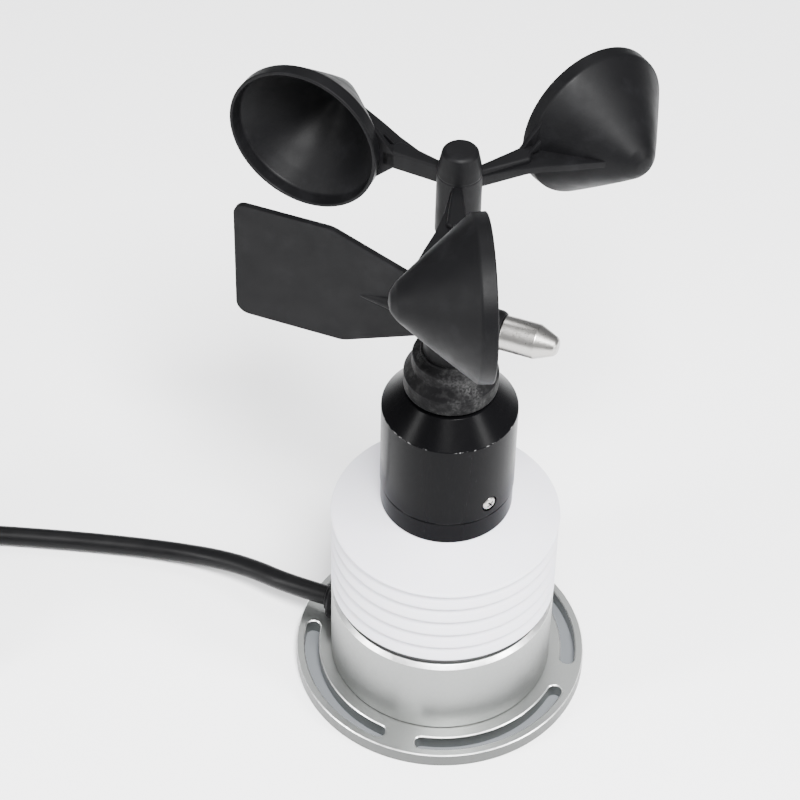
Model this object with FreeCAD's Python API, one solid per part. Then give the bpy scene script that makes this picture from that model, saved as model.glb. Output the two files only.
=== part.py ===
"""Compact weather station: a flanged sensor base, a louvred shield, a wind vane and a cup rotor.

Frame: millimetres, +Z up, origin at the centre of the flange's underside.
"""
import FreeCAD, Part
import math
import os

V = FreeCAD.Vector
UP = V(0, 0, 1)
ORIGIN = V(0, 0, 0)

# Mounting flange
FLANGE_R = 50.0
FLANGE_H = 5.5
FLANGE_EDGE = 0.9
SLOT_MID_R = 44.7
SLOT_WIDTH = 5.0
SLOT_SPAN = 70.0
SLOT_EDGE = 0.4
SLOT_COUNT = 4
FLANGE_SCREW_R = 31.0
FLANGE_SCREW_COUNT = 4
BREATHER_R = 5.0
BREATHER_X = 14.0

# Sensor base
GASKET_H = 0.4
CAN_R = 37.9
CAN_WALL = 3.2
CAN_TOP = 37.2
CAN_EDGE = 1.4
DECK_H = 3.0
BOARD_R = 28.0
BOARD_Z = 22.0
BOARD_H = 1.6
PILLAR_RING_R = 22.0

# Cable gland and signal cable
CABLE_D = 7.0
CABLE_AZ = 135.0
CABLE_Z = 14.0
GLAND_DISC_R = 7.4
GLAND_FACE = 40.2
GLAND_SEAT = 37.0
GLAND_THREAD_R = 5.8
GLAND_INNER = 29.5
CABLE_START = 27.0
CABLE_ROUTE = [
    (-36.8, 36.8, 14.0),
    (-48.8, 60.4, 9.4),
    (-66.2, 80.7, 3.9),
    (-94.5, 100.0, 3.5),
    (-127.1, 119.7, 3.5),
    (-149.0, 132.3, 4.2),
]
COIL_CENTRE = (-180.0, 102.1)
COIL_MID_R = 39.0
COIL_TURNS = 4.2
COIL_PITCH = 7.1
TIE_AZ = -30.0
TIE_H = 1.0
CORE_R = 0.8
CORE_COUNT = 4
CORE_SPAN = 34.0

# Radiation shield
SEAT_R = 35.9
SEAT_TOP = 40.6
LOUVRE_COUNT = 5
LOUVRE_PITCH = 6.35
LOUVRE_Z = 41.0
LOUVRE_HOLE_R = 24.0
LOUVRE_SEAT = 6.3
LOUVRE_SEAT_TOP = 7.6
ROD_RING_R = 26.25
ROD_R = 1.2
ROD_COUNT = 3
SPACER_R = 1.9
CAP_R = 38.2
CAP_RIM_H = 0.7
CAP_TOP = 80.9
CAP_UNDER = 74.4

# Mast and wind housing
MAST_R = 5.0
ADAPTER_R = 21.8
ADAPTER_TOP = 89.8
SPIGOT_R = 19.9
SPIGOT_TOP = 99.0
HOUSING_R = 22.05
HOUSING_Z = 90.1
SHOULDER_Z = 123.1
NECK_R = 14.8
NECK_Z = 131.0
HOUSING_WALL = 2.1
HOUSING_SCREW_AZ = -78.8
HOUSING_SCREW_COUNT = 2
HOUSING_SCREW_Z = 95.2
SCREW_HEAD_R = 2.45
SCREW_POCKET_R = 2.9
SCREW_SEAT = 21.1
WIND_BOARD_R = 18.0
WIND_BOARD_Z = 107.0

# Fixed post, vane bearings and rotor bushes
POST_R = 3.0
POST_BORE_R = 1.9
POST_Z = 119.0
POST_TOP = 203.0
BEARING_R = 6.0
BEARING_H = 4.0
VANE_BORE_R = 6.05

# Wind vane
VANE_AZ = 132.5
COLLAR_Z = 132.6
HUB_Z = 147.8
HUB_R = 9.2
HUB_TOP = 178.0
BLADE_T = 2.0
ROD_Z = 160.5
SOCKET_R = 6.6
SOCKET_END = 16.3
WEIGHT_R = 5.55
WEIGHT_END = 27.6
WEIGHT_TIP = 34.6

# Cup rotor
ROTOR_AZ = -112.0
CUP_COUNT = 3
CUP_RING_R = 50.4
CUP_Z = 215.8
CUP_SETBACK = 3.9
CUP_R = 24.6
CUP_DEPTH = 29.0
CUP_SKIRT = 4.5
CUP_WALL = 1.2
CUP_NOSE_R = 4.8
ROTOR_HUB_R = 6.9
ROTOR_HUB_Z = 197.0
ROTOR_SEAM_Z = 220.0
ROTOR_HUB_TOP = 228.5
ROTOR_TOP_R = 5.2
ARM_LOW = 212.8
ARM_HIGH = 219.4
ARM_T = 2.8
GUSSET_T = 2.4
FLARE_DOWN = -9.0
FLARE_UP = 10.7
FLARE_STEPS = 8
SHAFT_R = 1.5
SHAFT_Z = 117.5
SHAFT_TOP = 215.0


def cylinder(radius, low, high, x=0.0, y=0.0):
    return Part.makeCylinder(radius, high - low, V(x, y, low))


def tube(outer, inner, low, high, x=0.0, y=0.0):
    return cylinder(outer, low, high, x, y).cut(cylinder(inner, low - 1, high + 1, x, y))


def polar(radius, degrees):
    angle = math.radians(degrees)
    return radius * math.cos(angle), radius * math.sin(angle)


def turned(shape, degrees):
    copy = shape.copy()
    copy.rotate(ORIGIN, UP, degrees)
    return copy


def ring_of(shape, count, start=0.0):
    return [turned(shape, start + 360.0 * i / count) for i in range(count)]


def revolved(points):
    """Solid of revolution about Z from (radius, z) points."""
    loop = [V(r, 0, z) for r, z in points]
    face = Part.Face(Part.makePolygon(loop + [loop[0]]))
    return face.revolve(ORIGIN, UP, 360)


def radial_rod(radius, start, end, height, degrees, end_radius=None):
    """A rod, or a cone where end_radius is given, that lies along one azimuth."""
    x, y = polar(1.0, degrees)
    foot = V(x * start, y * start, height)
    direction = V(x, y, 0)
    if end_radius is None:
        return Part.makeCylinder(radius, end - start, foot, direction)
    return Part.makeCone(radius, end_radius, end - start, foot, direction)


def hexagon(across_flats, low, high, x=0.0, y=0.0):
    radius = across_flats / math.sqrt(3)
    corners = [V(x + polar(radius, 60 * i)[0], y + polar(radius, 60 * i)[1], low) for i in range(7)]
    return Part.Face(Part.makePolygon(corners)).extrude(V(0, 0, high - low))


def compound(shapes):
    return Part.makeCompound(shapes)


def save(name, shape):
    shape.exportStep("parts/%s.step" % name)
    print("%-20s volume %10.1f valid %s" % (name, shape.Volume, shape.isValid()))


# ---- mounting flange -------------------------------------------------------------------

def arc_slot(width, low, high):
    """One curved slot with round ends, centred on +X."""
    inner = SLOT_MID_R - width / 2
    outer = SLOT_MID_R + width / 2
    wedge = Part.makeCylinder(outer, high - low, V(0, 0, low), UP, SLOT_SPAN)
    wedge = turned(wedge, -SLOT_SPAN / 2).cut(cylinder(inner, low - 1, high + 1))
    for side in (-1, 1):
        x, y = polar(SLOT_MID_R, side * SLOT_SPAN / 2)
        wedge = wedge.fuse(cylinder(width / 2, low, high, x, y))
    return wedge


def mount_flange():
    plate = revolved([(0, 0), (FLANGE_R - 0.4, 0), (FLANGE_R, 0.4), (FLANGE_R, FLANGE_H - FLANGE_EDGE),
                      (FLANGE_R - FLANGE_EDGE, FLANGE_H), (0, FLANGE_H)])
    slot = arc_slot(SLOT_WIDTH, -1, FLANGE_H + 1)
    mouth = arc_slot(SLOT_WIDTH + 2 * SLOT_EDGE, FLANGE_H - SLOT_EDGE, FLANGE_H + 1)
    for cutter in ring_of(slot, SLOT_COUNT) + ring_of(mouth, SLOT_COUNT):
        plate = plate.cut(cutter)
    for screw in flange_screw_shapes():
        plate = plate.cut(screw)
    plate = plate.cut(tube(33.2, 27.8, -1, 0.2))
    return plate.cut(cylinder(BREATHER_R, -1, FLANGE_H + 1, BREATHER_X, 0))


def flange_screw_shapes():
    screw = revolved([(0, 0.2), (2.9, 0.2), (1.5, 1.7), (1.5, 12.5), (0, 12.5)])
    screw.translate(V(FLANGE_SCREW_R, 0, 0))
    return ring_of(screw, FLANGE_SCREW_COUNT)


def flange_screws():
    socket = hexagon(1.8, -1, 1.2, FLANGE_SCREW_R, 0)
    sockets = ring_of(socket, FLANGE_SCREW_COUNT)
    return compound([screw.cut(hole) for screw, hole in zip(flange_screw_shapes(), sockets)])


def breather_plug():
    plug = cylinder(BREATHER_R, 0.3, FLANGE_H + 1.5, BREATHER_X, 0)
    for index in range(3):
        x, y = polar(2.6, 120 * index)
        plug = plug.cut(cylinder(0.7, -1, FLANGE_H + 3, BREATHER_X + x, y))
    return plug


def flange_gasket():
    return tube(CAN_R - 0.5, CAN_R - CAN_WALL, FLANGE_H, FLANGE_H + GASKET_H)


# ---- sensor base -----------------------------------------------------------------------

def base_can():
    low = FLANGE_H + GASKET_H
    inner = CAN_R - CAN_WALL
    can = revolved([(0, CAN_TOP - DECK_H), (inner, CAN_TOP - DECK_H), (inner, low), (CAN_R, low),
                    (CAN_R, CAN_TOP - CAN_EDGE), (CAN_R - CAN_EDGE, CAN_TOP), (0, CAN_TOP)])
    boss = cylinder(3.6, low, 15.0, FLANGE_SCREW_R + 0.6, 0)
    for post in ring_of(boss, FLANGE_SCREW_COUNT):
        can = can.fuse(post.common(cylinder(inner + 1, low, CAN_TOP)))
    for screw in flange_screw_shapes():
        can = can.cut(screw)
    can = can.cut(radial_rod(GLAND_THREAD_R, 25, 45, CABLE_Z, CABLE_AZ))
    can = can.cut(radial_rod(GLAND_DISC_R + 0.1, GLAND_SEAT, 45, CABLE_Z, CABLE_AZ))
    can = can.cut(cylinder(MAST_R, CAN_TOP - DECK_H - 1, CAN_TOP + 1))
    for rod in tie_rod_shapes():
        can = can.cut(rod)
    return can.removeSplitter()


def gland_body():
    disc = radial_rod(GLAND_DISC_R, GLAND_SEAT, GLAND_FACE - 0.8, CABLE_Z, CABLE_AZ)
    lip = radial_rod(GLAND_DISC_R, GLAND_FACE - 0.8, GLAND_FACE, CABLE_Z, CABLE_AZ, GLAND_DISC_R - 0.8)
    thread = radial_rod(GLAND_THREAD_R, GLAND_INNER, GLAND_SEAT, CABLE_Z, CABLE_AZ)
    bore = radial_rod(CABLE_D / 2, 20, 45, CABLE_Z, CABLE_AZ)
    return disc.fuse(lip).fuse(thread).cut(bore).removeSplitter()


def gland_nut():
    nut = hexagon(15.0, 0, 3.4)
    nut = nut.cut(cylinder(GLAND_THREAD_R, -1, 5))
    nut.rotate(ORIGIN, V(0, 1, 0), 90)
    nut.translate(V(30.4, 0, CABLE_Z))
    return turned(nut, CABLE_AZ).common(cylinder(CAN_R - CAN_WALL, 0, CAN_TOP))


def main_board():
    board = cylinder(BOARD_R, BOARD_Z, BOARD_Z + BOARD_H)
    return board.cut(cylinder(8.0, BOARD_Z - 1, BOARD_Z + BOARD_H + 1))


def board_pillars():
    x, y = polar(PILLAR_RING_R, 60)
    pillar = cylinder(2.2, BOARD_Z + BOARD_H, CAN_TOP - DECK_H, x, y)
    return compound(ring_of(pillar, 3))


def terminal_block():
    block = Part.makeBox(10, 16, 9, V(10, -8, BOARD_Z - 9))
    for index in range(4):
        y = -6 + 4 * index
        block = block.cut(Part.makeBox(5, 2.4, 3, V(16, y - 1.2, BOARD_Z - 6)))
        block = block.cut(cylinder(1.2, BOARD_Z - 10, BOARD_Z - 7, 13, y))
    return turned(block, CABLE_AZ)


def board_chips():
    sizes = [(7, 7, 1.4, -14, 6), (10, 5, 2.0, -12, -8), (4, 8, 1.2, 4, 15), (5, 5, 3.2, 12, -14)]
    top = BOARD_Z + BOARD_H
    return compound([Part.makeBox(a, b, c, V(x - a / 2, y - b / 2, top)) for a, b, c, x, y in sizes])


def cable_cores():
    """Four cores from the cable's inner end into the terminal block."""
    cores = []
    for index in range(CORE_COUNT):
        spread = -6 + 4 * index
        start = V(CABLE_START, spread * 0.3, CABLE_Z)
        end = V(18.0, spread, BOARD_Z - 4.5)
        core = Part.makeCylinder(CORE_R, start.distanceToPoint(end), start, end - start)
        cores.append(turned(core, CABLE_AZ))
    return compound(cores)


# ---- signal cable ----------------------------------------------------------------------

def cable_points():
    x, y = polar(CABLE_START, CABLE_AZ)
    return [V(x, y, CABLE_Z)] + [V(*point) for point in CABLE_ROUTE]


def rounded_wire(points):
    """Straight runs joined by tangent arcs as large as the runs allow."""
    edges = []
    start = points[0]
    for before, corner, after in zip(points, points[1:], points[2:]):
        back = (before - corner).normalize()
        ahead = (after - corner).normalize()
        trim = 0.45 * min(before.distanceToPoint(corner), corner.distanceToPoint(after))
        half_turn = (math.pi - back.getAngle(ahead)) / 2
        radius = trim / math.tan(half_turn)
        print("cable arc radius %.1f, turn %.1f degrees" % (radius, math.degrees(2 * half_turn)))
        entry = corner + back * trim
        leave = corner + ahead * trim
        inward = (back + ahead).normalize()
        middle = corner + inward * (radius / math.cos(half_turn) - radius)
        edges.append(Part.LineSegment(start, entry).toShape())
        edges.append(Part.Arc(entry, middle, leave).toShape())
        start = leave
    edges.append(Part.LineSegment(start, points[-1]).toShape())
    return Part.Wire(edges)


def signal_cable():
    path = rounded_wire(cable_points())
    first = path.Edges[0]
    section = Part.Wire(Part.makeCircle(CABLE_D / 2, first.valueAt(first.FirstParameter),
                                        first.tangentAt(first.FirstParameter)))
    cable = path.makePipeShell([section], True, True)
    expected = math.pi * (CABLE_D / 2) ** 2 * path.Length
    print("cable route %.1f mm, volume over section times length %.4f" % (path.Length, cable.Volume / expected))
    return cable


def coil_top():
    return TIE_H + CABLE_D + COIL_TURNS * COIL_PITCH


def cable_coil():
    x, y = COIL_CENTRE
    half = CABLE_D / 2
    return tube(COIL_MID_R + half, COIL_MID_R - half, TIE_H, coil_top(), x, y)


def coil_tie():
    """A strap round the coil's bundle."""
    half = CABLE_D / 2 + 0.2
    top = coil_top() + 0.2
    outer = Part.makeBox(2 * half + 2 * TIE_H, 12, top + TIE_H, V(COIL_MID_R - half - TIE_H, -6, 0))
    inner = Part.makeBox(2 * half, 14, top - TIE_H, V(COIL_MID_R - half, -7, TIE_H))
    strap = turned(outer.cut(inner), TIE_AZ)
    strap.translate(V(COIL_CENTRE[0], COIL_CENTRE[1], 0))
    return strap


def core_leads():
    """The cable's four stripped cores, lying along the top turn of the coil."""
    start = 60.0 + 360.0 * COIL_TURNS
    height = coil_top() - CABLE_D + 1.6
    leads = []
    for index in range(CORE_COUNT):
        radius = COIL_MID_R + 1.8 * (index - 1.5)
        section = Part.Face(Part.Wire(Part.makeCircle(CORE_R, V(radius, 0, height), V(0, 1, 0))))
        lead = turned(section.revolve(ORIGIN, UP, CORE_SPAN), start)
        lead.translate(V(COIL_CENTRE[0], COIL_CENTRE[1], 0))
        leads.append(lead)
    return compound(leads)


# ---- radiation shield ------------------------------------------------------------------

def tie_rod_shapes():
    rod = cylinder(ROD_R, CAN_TOP - DECK_H - 3.5, CAP_UNDER, ROD_RING_R, 0)
    return ring_of(rod, ROD_COUNT)


def tie_nuts():
    nut = hexagon(5.0, CAN_TOP - DECK_H - 2.2, CAN_TOP - DECK_H, ROD_RING_R, 0)
    nuts = ring_of(nut, ROD_COUNT)
    return compound([piece.cut(rod) for piece, rod in zip(nuts, tie_rod_shapes())])


def shield_seat():
    """The dark ring between the base and the lowest louvre."""
    ring = tube(SEAT_R, LOUVRE_HOLE_R - 2.0, CAN_TOP, SEAT_TOP)
    for rod in tie_rod_shapes():
        ring = ring.cut(rod)
    return ring


def shield_spacers():
    post = tube(SPACER_R, ROD_R, SEAT_TOP, LOUVRE_Z + LOUVRE_SEAT, ROD_RING_R, 0)
    return compound(ring_of(post, ROD_COUNT))


def louvre(index):
    """A dished ring with a skirt whose lip overhangs the ring below it."""
    low = LOUVRE_Z + index * LOUVRE_PITCH
    profile = [(38.0, 0), (38.0, 1.2), (37.1, 5.2), (36.2, 6.1), (28.5, LOUVRE_SEAT_TOP),
               (LOUVRE_HOLE_R, LOUVRE_SEAT_TOP), (LOUVRE_HOLE_R, LOUVRE_SEAT), (28.2, LOUVRE_SEAT),
               (35.0, 5.0), (35.8, 3.9), (36.6, 1.0), (36.6, 0)]
    ring = revolved([(r, low + z) for r, z in profile])
    if index + 1 < LOUVRE_COUNT:
        above = low + LOUVRE_PITCH + LOUVRE_SEAT
    else:
        above = CAP_UNDER
    post = cylinder(SPACER_R, low + LOUVRE_SEAT, above, ROD_RING_R, 0)
    for piece in ring_of(post, ROD_COUNT):
        ring = ring.fuse(piece)
    for rod in tie_rod_shapes():
        ring = ring.cut(rod)
    return ring.removeSplitter()


def cap_plate():
    """The shield's roof: a shallow cone with a thin rim, thick in the middle where the rods end."""
    low = LOUVRE_Z + LOUVRE_COUNT * LOUVRE_PITCH - 0.05
    rim = low + CAP_RIM_H
    return revolved([(CAP_R - 1.6, low), (CAP_R, low), (CAP_R, rim), (CAP_R - 0.5, rim + 0.5), (30.0, 77.3),
                     (ADAPTER_R - 0.3, CAP_TOP), (MAST_R, CAP_TOP), (MAST_R, CAP_UNDER), (29.0, CAP_UNDER),
                     (36.3, low + 0.5)])


def humidity_probe():
    return cylinder(4.0, CAN_TOP, 57.0, 0, 14.0)


def probe_filter():
    body = revolved([(0, 57.0), (4.6, 57.0), (4.6, 69.0), (2.6, 71.0), (0, 71.0)])
    body.translate(V(0, 14.0, 0))
    return body


# ---- mast and wind housing -------------------------------------------------------------

def mast_tube():
    return tube(MAST_R, MAST_R - 1.0, CAN_TOP - DECK_H - 4.0, ADAPTER_TOP - 1.0)


def mast_nuts():
    lower = hexagon(14.0, CAN_TOP - DECK_H - 3.0, CAN_TOP - DECK_H)
    upper = hexagon(14.0, 84.9, 87.9)
    mast = cylinder(MAST_R, 0, 100)
    return compound([lower.cut(mast), upper.cut(mast)])


def adapter_ring():
    ring = revolved([(MAST_R, CAP_TOP), (ADAPTER_R - 0.3, CAP_TOP), (ADAPTER_R, CAP_TOP + 0.3),
                     (ADAPTER_R, ADAPTER_TOP), (SPIGOT_R, ADAPTER_TOP), (SPIGOT_R, SPIGOT_TOP),
                     (SPIGOT_R - 2.4, SPIGOT_TOP), (SPIGOT_R - 2.4, 84.9), (MAST_R, 84.9)])
    for screw in housing_screw_shapes():
        ring = ring.cut(screw)
    return ring


def housing_screw_shapes():
    """Pan-head screws that lie in round pockets in the housing's skirt."""
    shank = radial_rod(1.25, 17.0, SCREW_SEAT, HOUSING_SCREW_Z, 0)
    head = radial_rod(SCREW_HEAD_R, SCREW_SEAT, HOUSING_R, HOUSING_SCREW_Z, 0)
    screw = shank.fuse(head)
    return ring_of(screw, HOUSING_SCREW_COUNT, HOUSING_SCREW_AZ)


def housing_screws():
    drives = []
    for wide, tall in ((0.6, 2.8), (2.8, 0.6)):
        corner = V(HOUSING_R - 0.6, -wide / 2, HOUSING_SCREW_Z - tall / 2)
        drives.append(Part.makeBox(0.7, wide, tall, corner))
    cross = drives[0].fuse(drives[1])
    crosses = ring_of(cross, HOUSING_SCREW_COUNT, HOUSING_SCREW_AZ)
    return compound([screw.cut(drive) for screw, drive in zip(housing_screw_shapes(), crosses)])


def wind_housing():
    inner = HOUSING_R - HOUSING_WALL
    shell = revolved([(POST_R, POST_Z), (9.0, POST_Z), (9.0, 123.5), (11.5, 126.0), (inner, 121.0),
                      (inner, HOUSING_Z), (HOUSING_R, HOUSING_Z), (HOUSING_R, SHOULDER_Z),
                      (NECK_R, NECK_Z), (POST_R, NECK_Z)])
    pocket = radial_rod(SCREW_POCKET_R, SCREW_SEAT, HOUSING_R + 2, HOUSING_SCREW_Z, 0)
    for cutter in ring_of(pocket, HOUSING_SCREW_COUNT, HOUSING_SCREW_AZ) + housing_screw_shapes():
        shell = shell.cut(cutter)
    return shell


def wind_board():
    return cylinder(WIND_BOARD_R, WIND_BOARD_Z, WIND_BOARD_Z + BOARD_H)


def wind_board_posts():
    post = cylinder(2.0, 84.9, WIND_BOARD_Z, 14.0, 0)
    return compound(ring_of(post, 3, 20.0))


def wind_sensors():
    """Two position sensors on the wind board: one under the rotor's magnet, one for the vane."""
    top = WIND_BOARD_Z + BOARD_H
    centre = Part.makeBox(5, 5, 1.2, V(-2.5, -2.5, top))
    side = Part.makeBox(4, 4, 1.2, V(10.5, -2, top))
    return compound([centre, side])


def centre_post():
    return tube(POST_R, POST_BORE_R, POST_Z, POST_TOP)


def vane_bearing(low):
    return tube(BEARING_R, POST_R, low, low + BEARING_H)


def thrust_washer():
    return tube(8.0, POST_R, NECK_Z, NECK_Z + 1.2)


def retaining_ring():
    return tube(5.2, POST_R, HUB_TOP + 0.4, HUB_TOP + 1.6)


def rotor_bush(low):
    return tube(POST_BORE_R, SHAFT_R + 0.04, low, low + 6.0)


# ---- wind vane -------------------------------------------------------------------------

def vane_collar():
    """The stepped skirt under the vane's hub, with a pocket for its magnet."""
    body = revolved([(VANE_BORE_R, COLLAR_Z), (9.9, COLLAR_Z), (9.9, 135.0), (13.1, 135.0), (13.1, COLLAR_Z),
                     (15.1, COLLAR_Z), (15.2, 138.4), (12.7, 142.0), (12.6, 145.9), (HUB_R + 0.5, HUB_Z),
                     (VANE_BORE_R, HUB_Z)])
    return body


def vane_magnet():
    return tube(13.1, 9.9, COLLAR_Z + 0.3, 135.0)


def vane_hub():
    hub = revolved([(VANE_BORE_R, HUB_Z), (HUB_R, HUB_Z), (HUB_R, HUB_TOP - 1.0), (HUB_R - 1.0, HUB_TOP),
                    (VANE_BORE_R, HUB_TOP)])
    socket = radial_rod(SOCKET_R, 4.0, SOCKET_END, ROD_Z, VANE_AZ + 180)
    socket = socket.cut(cylinder(VANE_BORE_R, 140, 180))
    hub = hub.fuse(socket)
    return hub.cut(weight_stud()).removeSplitter()


def blade_outline():
    """Corners of the vane's blade as (radius, z), each with the radius of its rounding."""
    return [(8.0, 151.3, 0), (36.5, 139.0, 8), (73.4, 139.0, 4.5), (73.4, 184.6, 4.0), (40.5, 184.6, 9),
            (13.2, 173.8, 0), (8.0, 173.4, 0)]


def rounded_outline(corners):
    edges = []
    count = len(corners)
    ends = []
    for index, (r, z, rounding) in enumerate(corners):
        here = V(r, 0, z)
        back = (V(corners[index - 1][0], 0, corners[index - 1][1]) - here).normalize()
        following = corners[(index + 1) % count]
        ahead = (V(following[0], 0, following[1]) - here).normalize()
        if rounding == 0:
            ends.append((here, here))
            continue
        half = back.getAngle(ahead) / 2
        trim = rounding / math.tan(half)
        middle = here + (back + ahead).normalize() * (rounding / math.sin(half) - rounding)
        edges.append(Part.Arc(here + back * trim, middle, here + ahead * trim).toShape())
        ends.append((here + back * trim, here + ahead * trim))
    for index in range(count):
        edges.append(Part.LineSegment(ends[index][1], ends[(index + 1) % count][0]).toShape())
    return Part.Face(Part.Wire(Part.__sortEdges__(edges)))


def vane_blade():
    face = rounded_outline(blade_outline())
    blade = face.extrude(V(0, BLADE_T, 0))
    blade.translate(V(0, -BLADE_T / 2, 0))
    blade = turned(blade, VANE_AZ)
    return blade.cut(cylinder(HUB_R, 140, 190)).cut(vane_rib())


def vane_rib():
    """The tapered boss that stiffens the blade, opposite the counterweight."""
    cone = radial_rod(4.6, 8.0, 33.3, ROD_Z, VANE_AZ, 0.6)
    return cone.cut(cylinder(HUB_R, 140, 190))


def weight_stud():
    return radial_rod(2.0, 7.0, SOCKET_END + 4.0, ROD_Z, VANE_AZ + 180)


def counterweight():
    body = radial_rod(WEIGHT_R, SOCKET_END, WEIGHT_END, ROD_Z, VANE_AZ + 180)
    nose = radial_rod(WEIGHT_R, WEIGHT_END, WEIGHT_TIP - 1.6, ROD_Z, VANE_AZ + 180, 3.0)
    tip = radial_rod(3.0, WEIGHT_TIP - 1.6, WEIGHT_TIP, ROD_Z, VANE_AZ + 180, 1.2)
    return body.fuse(nose).fuse(tip).cut(weight_stud()).removeSplitter()


# ---- cup rotor -------------------------------------------------------------------------

def cup_profile(offset):
    """Points of the cup's surface as (radius, distance behind the rim)."""
    nose_start = CUP_DEPTH - 1.8
    mouth = [(CUP_R, 0), (CUP_R - 0.3, CUP_SKIRT)]
    waist = [(CUP_R - 8.2, 0.5 * (CUP_SKIRT + nose_start) - 1.0)]
    nose = [(CUP_NOSE_R, nose_start), (CUP_NOSE_R * 0.6, CUP_DEPTH - 0.5), (0, CUP_DEPTH)]
    return [(max(r - offset, 0), d - (offset if d > CUP_SKIRT else 0)) for r, d in mouth + waist + nose]


def cup(index):
    """A cone with a short skirt, open towards the wind, turned about its own axis."""
    outer = cup_profile(0)
    inner = cup_profile(CUP_WALL)
    inner = [(r, d) for r, d in inner if r > 0] + [(0, inner[-1][1])]
    shell = revolved(outer + list(reversed(inner)))
    shell.rotate(ORIGIN, V(1, 0, 0), 90)
    shell.translate(V(CUP_RING_R, CUP_SETBACK, CUP_Z))
    return turned(shell, ROTOR_AZ + 360.0 * index / CUP_COUNT)


def prism(outline, direction):
    return Part.Face(Part.makePolygon(outline + [outline[0]])).extrude(direction)


def rotor_arm():
    """One arm along +X: a beam that widens to the cup, a fin along the cone, a flare at the skirt."""
    root = ROTOR_HUB_R - 1.2
    reach = CUP_RING_R - CUP_R + 0.6
    beam = prism([V(root, 0.2, ARM_LOW), V(reach, 0.2, ARM_LOW), V(reach, -1.6, ARM_LOW),
                  V(reach - 4.5, -6.0, ARM_LOW), V(root, -ARM_T, ARM_LOW)], V(0, 0, ARM_HIGH - ARM_LOW))
    low = CUP_Z + 0.6 - GUSSET_T / 2
    fin = prism([V(root, -1.0, low), V(reach, -1.2, low), V(CUP_RING_R - 9.4, -18.0, low), V(31.0, -13.2, low),
                 V(24.0, -9.5, low), V(16.0, -6.1, low), V(root, -3.2, low)], V(0, 0, GUSSET_T))
    edge = []
    for step in range(FLARE_STEPS + 1):
        rise = FLARE_DOWN + (FLARE_UP - FLARE_DOWN) * step / FLARE_STEPS
        edge.append(V(CUP_RING_R - math.sqrt((CUP_R - 0.6) ** 2 - rise ** 2), -1.4, CUP_Z + rise))
    edge = [V(reach - 5.0, -1.4, ARM_LOW + 1)] + edge + [V(reach - 5.0, -1.4, ARM_HIGH - 1)]
    flare = prism(edge, V(0, 1.6, 0))
    return beam.fuse(fin).fuse(flare)


def rotor_spider():
    hub = revolved([(0, ROTOR_HUB_Z), (ROTOR_HUB_R - 0.4, ROTOR_HUB_Z), (ROTOR_HUB_R, ROTOR_HUB_Z + 0.4),
                    (ROTOR_HUB_R, ROTOR_SEAM_Z), (ROTOR_TOP_R + 0.3, ROTOR_HUB_TOP - 0.6),
                    (ROTOR_TOP_R - 0.4, ROTOR_HUB_TOP), (0, ROTOR_HUB_TOP)])
    for arm in ring_of(rotor_arm(), CUP_COUNT, ROTOR_AZ):
        hub = hub.fuse(arm)
    hub = hub.cut(cylinder(POST_R + 0.4, ROTOR_HUB_Z - 1, POST_TOP + 2))
    hub = hub.cut(cylinder(SHAFT_R, ROTOR_HUB_Z, SHAFT_TOP))
    for index in range(CUP_COUNT):
        hub = hub.cut(cup(index))
    return max(hub.Solids, key=lambda solid: solid.Volume)


def rotor_shaft():
    return cylinder(SHAFT_R, SHAFT_Z, SHAFT_TOP)


def rotor_magnet():
    return cylinder(4.0, SHAFT_Z - 4.0, SHAFT_Z)


def main():
    os.makedirs("parts", exist_ok=True)
    save("mount_flange", mount_flange())
    save("flange_screws", flange_screws())
    save("breather_plug", breather_plug())
    save("flange_gasket", flange_gasket())
    save("base_can", base_can())
    save("gland_body", gland_body())
    save("gland_nut", gland_nut())
    save("main_board", main_board())
    save("board_pillars", board_pillars())
    save("board_chips", board_chips())
    save("terminal_block", terminal_block())
    save("cable_cores", cable_cores())
    save("signal_cable", signal_cable())
    save("cable_coil", cable_coil())
    save("coil_tie", coil_tie())
    save("core_leads", core_leads())
    save("tie_rods", compound(tie_rod_shapes()))
    save("tie_nuts", tie_nuts())
    save("shield_seat", shield_seat())
    save("shield_spacers", shield_spacers())
    for index in range(LOUVRE_COUNT):
        save("louvre_%d" % (index + 1), louvre(index))
    save("cap_plate", cap_plate())
    save("humidity_probe", humidity_probe())
    save("probe_filter", probe_filter())
    save("mast_tube", mast_tube())
    save("mast_nuts", mast_nuts())
    save("adapter_ring", adapter_ring())
    save("housing_screws", housing_screws())
    save("wind_housing", wind_housing())
    save("wind_board", wind_board())
    save("wind_board_posts", wind_board_posts())
    save("wind_sensors", wind_sensors())
    save("centre_post", centre_post())
    save("vane_bearing_lower", vane_bearing(COLLAR_Z + 2.4))
    save("vane_bearing_upper", vane_bearing(HUB_TOP - 8.0))
    save("thrust_washer", thrust_washer())
    save("retaining_ring", retaining_ring())
    save("rotor_bush_lower", rotor_bush(POST_Z))
    save("rotor_bush_upper", rotor_bush(POST_TOP - 6.0))
    save("vane_collar", vane_collar())
    save("vane_magnet", vane_magnet())
    save("vane_hub", vane_hub())
    save("vane_blade", vane_blade())
    save("vane_rib", vane_rib())
    save("weight_stud", weight_stud())
    save("counterweight", counterweight())
    save("rotor_spider", rotor_spider())
    for index in range(CUP_COUNT):
        save("cup_%d" % (index + 1), cup(index))
    save("rotor_shaft", rotor_shaft())
    save("rotor_magnet", rotor_magnet())


main()
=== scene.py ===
"""Looks of the compact weather station: detailed pieces, materials, cable, light and camera, in metres."""
import bpy
import bmesh
import math
from mathutils import Matrix, Vector


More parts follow.
